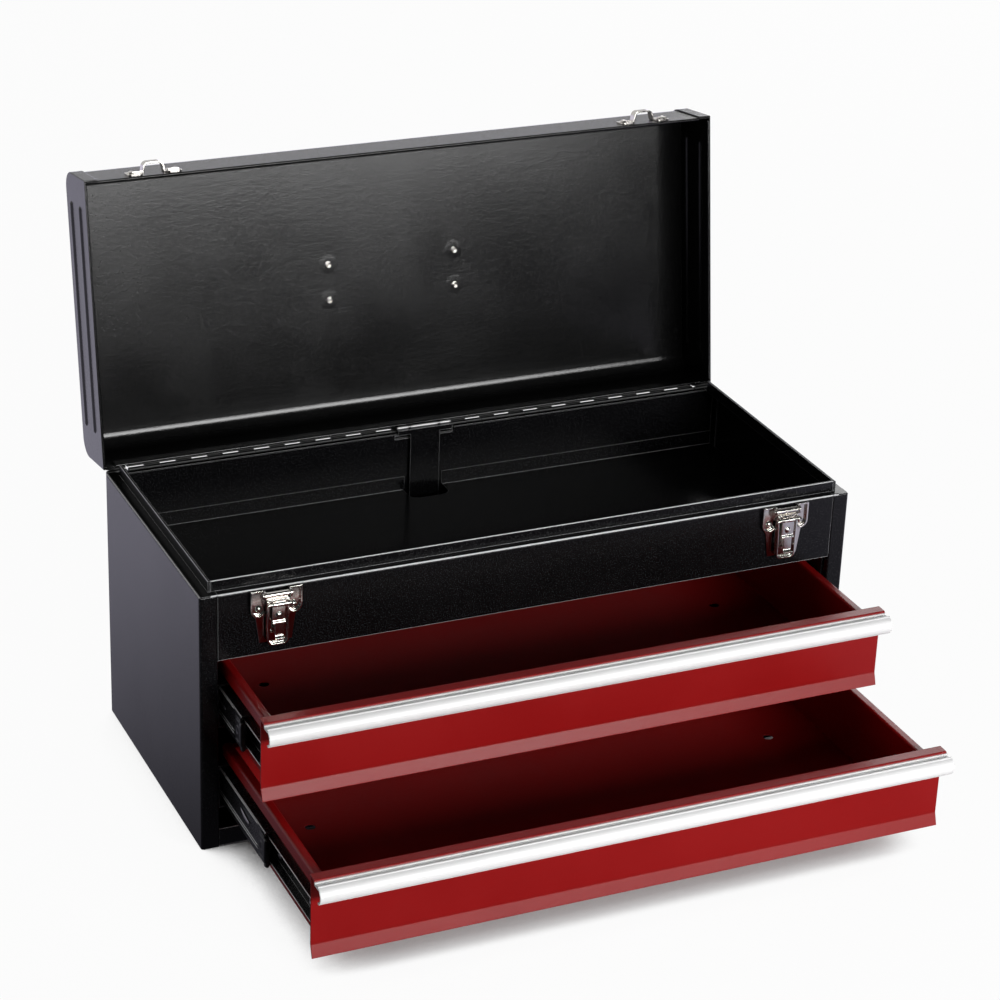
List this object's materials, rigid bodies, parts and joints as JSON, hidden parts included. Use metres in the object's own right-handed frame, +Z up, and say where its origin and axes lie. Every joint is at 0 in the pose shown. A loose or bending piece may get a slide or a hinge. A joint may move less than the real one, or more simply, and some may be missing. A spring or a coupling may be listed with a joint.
{
  "type": "portable tool box",
  "caption": "Portable steel tool box: lift-up lid on a piano hinge, open top tray, drawers on ball-bearing slides, draw latches and a folding handle.",
  "frame": {"origin": "centre of the case's resting face", "axes": "+Z up, the drawers open towards -Y, +X to the right seen from the front"},
  "size_m": [0.5224, 0.5102, 0.4319],
  "materials": {
    "black_paint": "fine-textured black powder coat",
    "lid_paint": "fine-textured black powder coat, slightly glossier",
    "red_paint": "smooth red powder coat",
    "strip_aluminium": "brushed and clear-anodised",
    "latch_nickel": "nickel plate",
    "slide_black": "black electrophoretic coat",
    "slide_steel": "zinc-plated steel",
    "ball_steel": "polished bearing steel",
    "hinge_paint": "black paint, worn bright on the knuckles",
    "pin_steel": "bright drawn steel",
    "grip_plastic": "moulded black plastic",
    "bail_chrome": "chrome plate"
  },
  "bodies": {
    "case": {"left_side_panel": "black_paint", "right_side_panel": "black_paint", "back_panel": "black_paint", "bottom_panel": "black_paint", "front_fascia": "black_paint", "tray_floor": "black_paint", "left_slide_carrier": "black_paint", "right_slide_carrier": "black_paint", "case_hinge_leaf": "hinge_paint", "hinge_pin": "pin_steel", "lock_guides": "black_paint", "left_latch_base": "latch_nickel", "right_latch_base": "latch_nickel", "left_latch_pin": "latch_nickel", "right_latch_pin": "latch_nickel", "latch_rivets": "latch_nickel", "upper_left_case_rail": "slide_black", "upper_right_case_rail": "slide_black", "lower_left_case_rail": "slide_black", "lower_right_case_rail": "slide_black"},
    "lid": {"lid_shell": "lid_paint", "left_lid_end": "lid_paint", "right_lid_end": "lid_paint", "lid_hinge_leaf": "hinge_paint", "left_strike": "latch_nickel", "right_strike": "latch_nickel", "strike_rivets": "latch_nickel", "handle_brackets": "latch_nickel", "handle_rivets": "latch_nickel"},
    "handle": {"handle_bail": "bail_chrome", "handle_grip": "grip_plastic"},
    "lock_bar": {"lock_bar": "black_paint"},
    "left_lever": {"left_latch_lever": "latch_nickel"},
    "left_hook": {"left_latch_hook": "latch_nickel"},
    "right_lever": {"right_latch_lever": "latch_nickel"},
    "right_hook": {"right_latch_hook": "latch_nickel"},
    "upper_drawer": {"upper_drawer_body": "red_paint", "upper_drawer_pan": "red_paint", "upper_drawer_front": "red_paint", "upper_pull_strip": "strip_aluminium", "upper_left_drawer_rail": "slide_steel", "upper_right_drawer_rail": "slide_steel"},
    "upper_middle_rails": {"upper_left_middle_rail": "slide_black", "upper_right_middle_rail": "slide_black"},
    "upper_inner_cages": {"upper_inner_ball_cages": "ball_steel"},
    "upper_outer_cages": {"upper_outer_ball_cages": "ball_steel"},
    "lower_drawer": {"lower_drawer_body": "red_paint", "lower_drawer_pan": "red_paint", "lower_drawer_front": "red_paint", "lower_pull_strip": "strip_aluminium", "lower_left_drawer_rail": "slide_steel", "lower_right_drawer_rail": "slide_steel"},
    "lower_middle_rails": {"lower_left_middle_rail": "slide_black", "lower_right_middle_rail": "slide_black"},
    "lower_inner_cages": {"lower_inner_ball_cages": "ball_steel"},
    "lower_outer_cages": {"lower_outer_ball_cages": "ball_steel"}
  },
  "joints": [
    {"name": "lid_hinge", "type": "hinge", "parent": "case", "child": "lid", "pos_m": [0, 0.114, 0.2025], "axis": [-1, 0, 0], "range_deg": [-98.2, 0]},
    {"name": "lock_bar_slide", "type": "slide", "parent": "case", "child": "lock_bar", "axis": [0, 0, 1], "range_m": [-0.005, 0]},
    {"name": "handle_fold", "type": "hinge", "parent": "lid", "child": "handle", "pos_m": [0, 0.18957, 0.30765], "axis": [1, 0, 0], "range_deg": [-3, 160]},
    {"name": "left_lever_lift", "type": "hinge", "parent": "case", "child": "left_lever", "pos_m": [-0.204, -0.1155, 0.201], "axis": [-1, 0, 0], "range_deg": [0, 100]},
    {"name": "left_hook_swing", "type": "hinge", "parent": "left_lever", "child": "left_hook", "pos_m": [-0.204, -0.1195, 0.195], "axis": [1, 0, 0], "range_deg": [-176, 0]},
    {"name": "right_lever_lift", "type": "hinge", "parent": "case", "child": "right_lever", "pos_m": [0.204, -0.1155, 0.201], "axis": [-1, 0, 0], "range_deg": [0, 100]},
    {"name": "right_hook_swing", "type": "hinge", "parent": "right_lever", "child": "right_hook", "pos_m": [0.204, -0.1195, 0.195], "axis": [1, 0, 0], "range_deg": [-176, 0]},
    {"name": "upper_drawer_slide", "type": "slide", "parent": "case", "child": "upper_drawer", "axis": [0, -1, 0], "range_m": [-0.084, 0.106]},
    {"name": "upper_middle_rails_travel", "type": "slide", "parent": "case", "child": "upper_middle_rails", "axis": [0, -1, 0], "range_m": [-0.042, 0.053]},
    {"name": "upper_inner_cages_travel", "type": "slide", "parent": "case", "child": "upper_inner_cages", "axis": [0, -1, 0], "range_m": [-0.063, 0.0795]},
    {"name": "upper_outer_cages_travel", "type": "slide", "parent": "case", "child": "upper_outer_cages", "axis": [0, -1, 0], "range_m": [-0.021, 0.0265]},
    {"name": "lower_drawer_slide", "type": "slide", "parent": "case", "child": "lower_drawer", "axis": [0, -1, 0], "range_m": [-0.1832, 0.0068]},
    {"name": "lower_middle_rails_travel", "type": "slide", "parent": "case", "child": "lower_middle_rails", "axis": [0, -1, 0], "range_m": [-0.0916, 0.0034]},
    {"name": "lower_inner_cages_travel", "type": "slide", "parent": "case", "child": "lower_inner_cages", "axis": [0, -1, 0], "range_m": [-0.1374, 0.0051]},
    {"name": "lower_outer_cages_travel", "type": "slide", "parent": "case", "child": "lower_outer_cages", "axis": [0, -1, 0], "range_m": [-0.0458, 0.0017]}
  ],
  "couplings": [
    {"joint": "lock_bar_slide", "follows": "lid_hinge", "m_per_rad": 0.002917},
    {"joint": "upper_middle_rails_travel", "follows": "upper_drawer_slide", "ratio": 0.5},
    {"joint": "upper_inner_cages_travel", "follows": "upper_drawer_slide", "ratio": 0.75},
    {"joint": "upper_outer_cages_travel", "follows": "upper_drawer_slide", "ratio": 0.25},
    {"joint": "lower_middle_rails_travel", "follows": "lower_drawer_slide", "ratio": 0.5},
    {"joint": "lower_inner_cages_travel", "follows": "lower_drawer_slide", "ratio": 0.75},
    {"joint": "lower_outer_cages_travel", "follows": "lower_drawer_slide", "ratio": 0.25}
  ]
}
